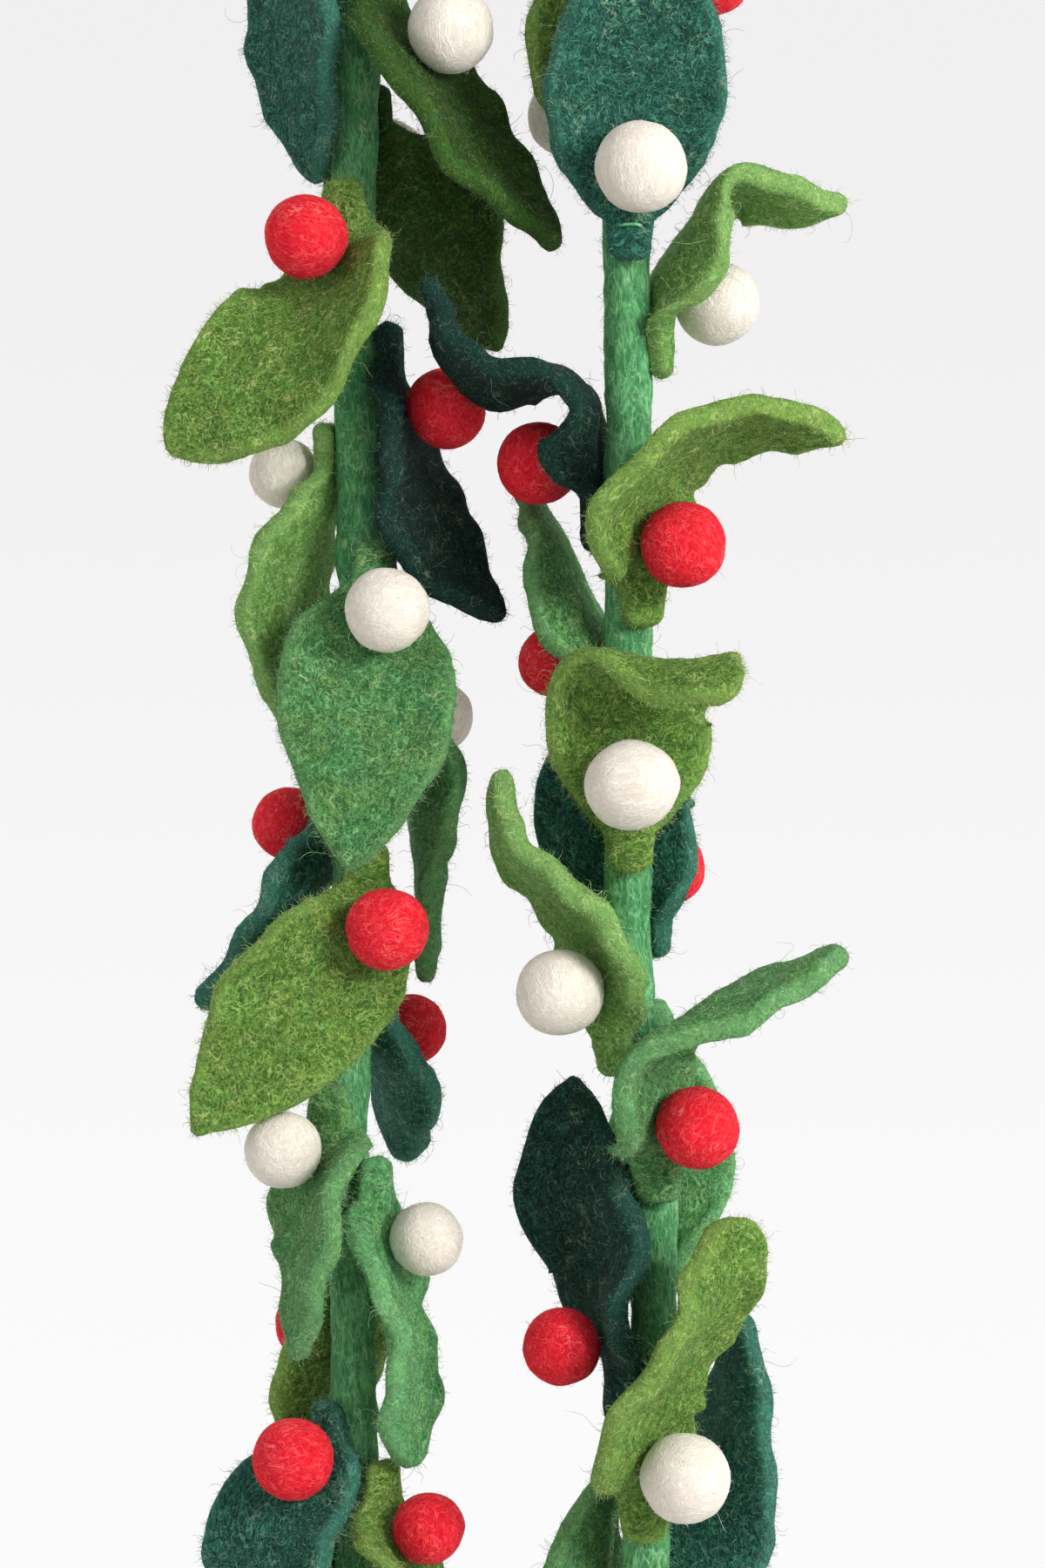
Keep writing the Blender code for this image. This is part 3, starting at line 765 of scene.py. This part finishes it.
leaf_felts = {
    name: felt(name + "_felt", wool, sheen=LEAF_SHEEN) for name, wool in LEAF_WOOLS.items()
}
sprig_rows = {sprig.name: leaf_rows(sprig) for sprig in SPRIGS}
leaves = {}
for sprig in SPRIGS:
    rows = sprig_rows[sprig.name]
    leaf = skin("felt_leaf_" + sprig.name, leaf_rings(sprig, rows))
    roughened(leaf, LEAF_LUMPS)
    leaf.data.materials.append(leaf_felts[leaf_wool(sprig)])
    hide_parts("leaf_" + sprig.name)
    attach(leaf, "root")
    "felt_" + sprig.tone
    cut = (2 * max(row.half_width for row in rows), sprig.length * MM + TAIL_LENGTH)
    cut_area(rows)
    leaves[sprig.name] = leaf


# The stitch that shows: each tail is sewn through into the rope, and on one leaf the light
# green wool thread lies on top of the felt, across the neck.
STITCHED = "14"
STITCH_LENGTH = 5.6 * MM
STITCH_RADIUS = 0.36 * MM
STITCH_RISE = 0.25 * MM
STITCH_PLACE = -1.5 * MM
STITCH_ARCH = 2.2
STITCH_SUNK = 0.6
STITCH_END = 0.02
STITCH_BLUNTNESS = 8
STITCH_RINGS = 14
STITCH_SIDES = 8

STITCH_WOOL = Wool(
    pit=(0.060, 0.300, 0.110), body=(0.130, 0.520, 0.210), fibre=(0.360, 0.760, 0.420),
    second=(0.170, 0.560, 0.240), odd=(0.500, 0.720, 0.420),
)


def stitch_rings(row):
    """A short thread over the felt, sunk in at both ends and bowed towards the blade."""
    side = row.heading.cross(row.normal)
    rings = []
    for i in range(STITCH_RINGS + 1):
        across = 2 * i / STITCH_RINGS - 1
        bow = 1 - across**2
        x = across * STITCH_LENGTH / 2
        dip = x**2 / (2 * (ROPE_RADIUS + SEWN_GAP + FELT_THICKNESS))
        lift = FELT_THICKNESS / 2 - dip + STITCH_RADIUS * (STITCH_ARCH * bow - STITCH_SUNK)
        middle = row.point + side * x + row.heading * (STITCH_RISE * bow) + row.normal * lift
        radius = STITCH_RADIUS * math.sqrt(max(STITCH_END, 1 - across**STITCH_BLUNTNESS))
        ring = []
        for k in range(STITCH_SIDES):
            turn = 2 * math.pi * k / STITCH_SIDES
            out = row.heading * math.cos(turn) + row.normal * math.sin(turn)
            ring.append(Spot(middle + out * radius, Vector((x, radius * turn, across * MM)), 0.0))
        rings.append(ring)
    return rings


stitched_row = row_at(sprig_rows[STITCHED], STITCH_PLACE)
stitch = skin("stitch_" + STITCHED, stitch_rings(stitched_row))
stitch.data.materials.append(felt("stitch_wool", STITCH_WOOL, drawn=0.4))
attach(stitch, "root")


# The balls: wool rolled wet into firm balls, red or undyed white, one sewn to each leaf near
# its neck. They are nearly round, with soft dents, and the wool's last layers wind round them.
BALL_SUBDIVISIONS = 4
BALL_SQUASH = 0.03
BALL_LUMPS = [Lumps(8 * MM, 0.8 * MM), Lumps(2.4 * MM, 0.22 * MM)]
BALL_SEED = 100

BALL_WOOLS = {
    "red": Wool(
        pit=(0.560, 0.004, 0.014), body=(0.830, 0.013, 0.032), fibre=(0.980, 0.085, 0.095),
        second=(0.760, 0.008, 0.022), odd=(0.960, 0.250, 0.230),
    ),
    "white": Wool(
        pit=(0.690, 0.610, 0.510), body=(0.820, 0.760, 0.675), fibre=(0.930, 0.890, 0.830),
        second=(0.790, 0.725, 0.630), odd=(0.700, 0.610, 0.480),
    ),
}


def ball_place(sprig, rows):
    """The ball's middle, and the way that it faces from its leaf."""
    row = row_at(rows, sprig.seat * MM)
    lift = FELT_THICKNESS / 2 + SEWN_GAP + sprig.diameter * MM / 2
    return row.point + row.normal * lift, row.normal


def ball_piece(sprig):
    """A rolled ball, a little out of round, turned its own way on its leaf."""
    rng = random.Random(BALL_SEED + int(sprig.name))
    centre, facing = ball_place(sprig, sprig_rows[sprig.name])
    radius = sprig.diameter * MM / 2
    bpy.ops.object.select_all(action="DESELECT")
    bpy.ops.mesh.primitive_ico_sphere_add(subdivisions=BALL_SUBDIVISIONS, radius=radius)
    ball = bpy.context.object
    ball.name = ball.data.name = "felt_ball_" + sprig.name
    own = own_corner(rng)
    wool = ball.data.attributes.new("wool", "FLOAT_VECTOR", "POINT")
    for vert in ball.data.vertices:
        wool.data[vert.index].vector = own + vert.co
    squash = [1 + rng.uniform(-BALL_SQUASH, BALL_SQUASH) for _ in range(3)]
    turned = Matrix.Rotation(rng.uniform(0, math.pi), 4, facing)
    ball.data.transform(Matrix.Translation(centre) @ turned @ Matrix.Diagonal((*squash, 1)))
    bpy.ops.object.shade_smooth()
    roughened(ball, BALL_LUMPS)
    return ball


ball_felts = {
    "red": felt("red_ball_felt", BALL_WOOLS["red"], drawn=0.45, sheen=0.12),
    "white": felt("white_ball_felt", BALL_WOOLS["white"], drawn=0.35, sheen=0.1),
}
balls = {}
for sprig in SPRIGS:
    ball = ball_piece(sprig)
    ball.data.materials.append(ball_felts[sprig.ball])
    if sprig.own:
        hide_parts("ball_" + sprig.name)
    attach(ball, "root")
    "felt_" + sprig.ball
    balls[sprig.name] = ball


# The loose wool: single fibres that never felted in. Short ones lie on every face, a fringe
# of curled ones stands off the edges, and a few long ones wander clear of the felt.
FIBRE_ROOT = 0.12 * MM
FIBRE_TAPER = 0.5
FIBRE_AXIS_LIFT = 0.6
FIBRE_TONE_SIZE = 1.3 * MM
FIBRE_TONE_LEVELS = (0.35, 0.65)
FIBRE_ROUGHNESS = 0.7
FIBRE_SPECULAR = 0.3
FIBRE_SHEEN = 0.2

# A growth is one kind of fibre: how many a piece has, the least and the most of its length in
# millimetres and of its rise off the surface and its curl in degrees, its radius in
# millimetres, its joints, and how many more of them stand at a cut edge than on a face.
Growth = namedtuple("Growth", "count length rise curl radius joints at_rim")

LEAF_GROWTHS = [
    Growth(420, (0.9, 2.8), (4, 42), (30, 150), 0.070, 2, 0.4),
    Growth(900, (0.8, 2.9), (18, 88), (40, 200), 0.060, 2, 24),
    Growth(105, (2.6, 6.5), (10, 65), (200, 480), 0.068, 6, 3),
    Growth(9, (5.0, 13.0), (20, 80), (140, 460), 0.060, 8, 5),
]
BALL_GROWTHS = [
    Growth(130, (0.8, 2.4), (3, 40), (30, 140), 0.052, 2, 0),
    Growth(3, (2.5, 6.0), (20, 70), (100, 300), 0.048, 6, 0),
]
ROPE_GROWTHS = [
    Growth(4700, (0.9, 3.2), (5, 60), (30, 150), 0.065, 2, 0),
    Growth(90, (4.0, 10.0), (20, 80), (120, 400), 0.056, 8, 0),
]

# The darkest and the lightest of each wool's loose fibres.
FIBRE_TONES = {
    "rope": ((0.100, 0.330, 0.130), (0.330, 0.600, 0.330)),
    "lime": ((0.170, 0.330, 0.060), (0.540, 0.620, 0.220)),
    "green": ((0.090, 0.290, 0.100), (0.380, 0.600, 0.300)),
    "emerald": ((0.110, 0.360, 0.130), (0.400, 0.660, 0.330)),
    "teal": ((0.022, 0.130, 0.095), (0.280, 0.480, 0.360)),
    # The loose fibres of the lighter lime are painted light, and those of the olive and of the two
    # darker teals are painted shade, as on their leaves.
    "painted_light_lime": ((0.200, 0.400, 0.100), (0.580, 0.720, 0.320)),
    "shaded_olive": ((0.030, 0.110, 0.022), (0.170, 0.290, 0.070)),
    "deep_teal_and_shade": ((0.010, 0.060, 0.045), (0.160, 0.300, 0.220)),
    "painted_shade_teal": ((0.006, 0.036, 0.028), (0.100, 0.200, 0.150)),
    "red": ((0.760, 0.020, 0.035), (0.960, 0.170, 0.170)),
    "white": ((0.800, 0.740, 0.640), (0.970, 0.950, 0.900)),
}


def unit(vectors):
    return vectors / np.linalg.norm(vectors, axis=1, keepdims=True)


def scattered(piece, count, at_rim, rng):
    """Places on a piece's surface and the way out there, with more of them on its rim."""
    mesh = piece.data
    mesh.calc_loop_triangles()
    places = np.empty(len(mesh.vertices) * 3)
    mesh.vertices.foreach_get("co", places)
    places = places.reshape(-1, 3)
    outs = np.empty(len(mesh.vertices) * 3)
    mesh.vertices.foreach_get("normal", outs)
    outs = outs.reshape(-1, 3)
    corners = np.empty(len(mesh.loop_triangles) * 3, dtype=np.int32)
    mesh.loop_triangles.foreach_get("vertices", corners)
    corners = corners.reshape(-1, 3)
    a, b, c = (places[corners[:, i]] for i in range(3))
    weight = np.linalg.norm(np.cross(b - a, c - a), axis=1)
    if at_rim:
        rim = np.empty(len(mesh.vertices))
        mesh.attributes["rim"].data.foreach_get("value", rim)
        weight = weight * (1 + at_rim * rim[corners].mean(axis=1) ** 2)
    chosen = corners[rng.choice(len(corners), size=count, p=weight / weight.sum())]
    mix = rng.dirichlet((1, 1, 1), size=count)[:, :, None]
    return (places[chosen] * mix).sum(axis=1), unit((outs[chosen] * mix).sum(axis=1))


def turned_about(vectors, axes, angles):
    """Each vector turned about its own axis by its own angle."""
    cosine, sine = np.cos(angles)[:, None], np.sin(angles)[:, None]
    along = (axes * vectors).sum(axis=1, keepdims=True)
    return vectors * cosine + np.cross(axes, vectors) * sine + axes * along * (1 - cosine)


def grown(piece, growth, rng):
    """Curled fibres on a piece, each a three-sided strand drawn to a point: points and faces."""
    roots, outs = scattered(piece, growth.count, growth.at_rim, rng)
    size = growth.count
    across = rng.normal(size=(size, 3))
    across = unit(across - outs * (across * outs).sum(axis=1, keepdims=True))
    rise = np.radians(rng.uniform(*growth.rise, size=size))[:, None]
    heading = across * np.cos(rise) + outs * np.sin(rise)
    axes = unit(rng.normal(size=(size, 3)) + outs * FIBRE_AXIS_LIFT)
    turn = np.radians(rng.uniform(*growth.curl, size=size)) / growth.joints
    step = rng.uniform(*growth.length, size=size)[:, None] * MM / growth.joints
    point = roots - outs * FIBRE_ROOT
    rings = []
    for joint in range(growth.joints):
        u = unit(np.cross(heading, axes))
        v = np.cross(heading, u)
        radius = growth.radius * MM * (1 - FIBRE_TAPER * joint / growth.joints)
        for corner in range(3):
            angle = 2 * math.pi * corner / 3
            rings.append(point + (u * math.cos(angle) + v * math.sin(angle)) * radius)
        point = point + heading * step
        heading = turned_about(heading, axes, turn)
    rings.append(point)

    tip = 3 * growth.joints
    faces = [(0, 2, 1)]
    for joint in range(growth.joints - 1):
        for corner in range(3):
            a, b = 3 * joint + corner, 3 * joint + (corner + 1) % 3
            faces += [(a, b, b + 3), (a, b + 3, a + 3)]
    faces += [(tip - 3 + corner, tip - 3 + (corner + 1) % 3, tip) for corner in range(3)]
    points = np.stack(rings, axis=1).reshape(-1, 3)
    starts = np.arange(size)[:, None, None] * (tip + 1)
    return points, (np.array(faces)[None] + starts).reshape(-1, 3)


def fibre_finish(name, dark, light):
    """Single wool fibres: each a little lighter or darker than the next."""
    material = bpy.data.materials.new(name)
    material.use_nodes = True
    tree = material.node_tree
    shader = tree.nodes["Principled BSDF"]
    shader.inputs["Roughness"].default_value = FIBRE_ROUGHNESS
    shader.inputs["Specular IOR Level"].default_value = FIBRE_SPECULAR
    shader.inputs["Sheen Weight"].default_value = FIBRE_SHEEN
    start = Shade(tree)
    place = start.node("TexCoord", {}, {}, out="Object")
    share = cloudy(start, place, FIBRE_TONE_SIZE, 1, 0).between(*FIBRE_TONE_LEVELS)
    tree.links.new(share.mixed((*dark, 1), (*light, 1)).socket, shader.inputs["Base Color"])
    return material


def loose_wool(wool_name, pieces, growths, seed, tone):
    """One joined mesh of all the loose fibres of one wool."""
    name = "loose_wool_" + wool_name
    rng = np.random.default_rng(seed)
    all_points, all_faces, count = [], [], 0
    for piece in pieces:
        for growth in growths:
            points, faces = grown(piece, growth, rng)
            all_points.append(points)
            all_faces.append(faces + count)
            count += len(points)
    mesh = bpy.data.meshes.new(name)
    mesh.from_pydata(np.concatenate(all_points).tolist(), [], np.concatenate(all_faces).tolist())
    mesh.shade_smooth()
    mesh.materials.append(fibre_finish(wool_name + "_fibres", *FIBRE_TONES[wool_name]))
    wool = bpy.data.objects.new(name, mesh)
    bpy.context.collection.objects.link(wool)
    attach(wool, "root")
    "felt_" + tone


FIRST_LEAF_SEED = 0
FIRST_BALL_SEED = 10
ROPE_SEED = 20

for seed, wool_name in enumerate(LEAF_WOOLS, start=FIRST_LEAF_SEED):
    alike = [sprig for sprig in SPRIGS if leaf_wool(sprig) == wool_name]
    own = [leaves[sprig.name] for sprig in alike]
    loose_wool(wool_name, own, LEAF_GROWTHS, seed, alike[0].tone)
for seed, tone in enumerate(BALL_WOOLS, start=FIRST_BALL_SEED):
    own = [balls[sprig.name] for sprig in SPRIGS if sprig.ball == tone]
    loose_wool(tone, own, BALL_GROWTHS, seed, tone)
loose_wool("rope", [rope_piece], ROPE_GROWTHS, ROPE_SEED, "rope")


# The place it hangs in: a white room with a pale floor far below, a soft light in front of it
# on the right, another behind it, and white walls all round that fill the shadows.
FLOOR_DROP = 1.15
FLOOR_RADIUS = 1.5
FLOOR_SIDES = 96
FLOOR_WHITE = (0.9, 0.9, 0.9, 1)
FLOOR_ROUGHNESS = 0.8
ROOM_LIGHT = (0.74, 0.74, 0.74, 1)
ROOM_LOOK_LOW = (0.965, 0.965, 0.965, 1)
ROOM_LOOK_HIGH = (0.880, 0.865, 0.875, 1)
ROOM_LOOK_RISE = 0.2
KEY_PLACE = Vector((0.85, -0.85, 0.15))
KEY_SIZE = 0.40
KEY_POWER = 14
BACK_PLACE = Vector((-0.35, 0.9, 0.25))
BACK_SIZE = 0.8
BACK_POWER = 4.0

bpy.ops.object.select_all(action="DESELECT")
bpy.ops.mesh.primitive_circle_add(
    vertices=FLOOR_SIDES, radius=FLOOR_RADIUS, fill_type="NGON", location=(0, 0, -FLOOR_DROP),
)
floor = bpy.context.object
floor.name = "floor"
floor_finish = bpy.data.materials.new("pale_floor")
floor_finish.use_nodes = True
floor_shader = floor_finish.node_tree.nodes["Principled BSDF"]
floor_shader.inputs["Base Color"].default_value = FLOOR_WHITE
floor_shader.inputs["Roughness"].default_value = FLOOR_ROUGHNESS
floor.data.materials.append(floor_finish)


def soft_light(name, place, size, power):
    """A square light that faces the middle of the garland."""
    bpy.ops.object.light_add(type="AREA", location=place)
    light = bpy.context.object
    light.name = name
    light.data.size = size
    light.data.energy = power
    middle = (cad_low + cad_high) / 2
    light.rotation_euler = (middle - place).to_track_quat("-Z", "Y").to_euler()


soft_light("key_light", KEY_PLACE, KEY_SIZE, KEY_POWER)
soft_light("back_light", BACK_PLACE, BACK_SIZE, BACK_POWER)

room = bpy.data.worlds.new("white_room")
bpy.context.scene.world = room
room.use_nodes = True
room_start = Shade(room.node_tree)
way = room_start.node("TexCoord", {}, {}, out="Generated")
height = room_start.node("SeparateXYZ", {}, {"Vector": way}, out="Z")
look = height.between(-ROOM_LOOK_RISE, ROOM_LOOK_RISE).mixed(ROOM_LOOK_LOW, ROOM_LOOK_HIGH)
seen = room_start.node("LightPath", {}, {}, out="Is Camera Ray")
colour = seen.mixed(ROOM_LIGHT, look)
backdrop = room.node_tree.nodes["Background"]
room.node_tree.links.new(colour.socket, backdrop.inputs["Color"])
bpy.context.scene.view_settings.view_transform = "Standard"
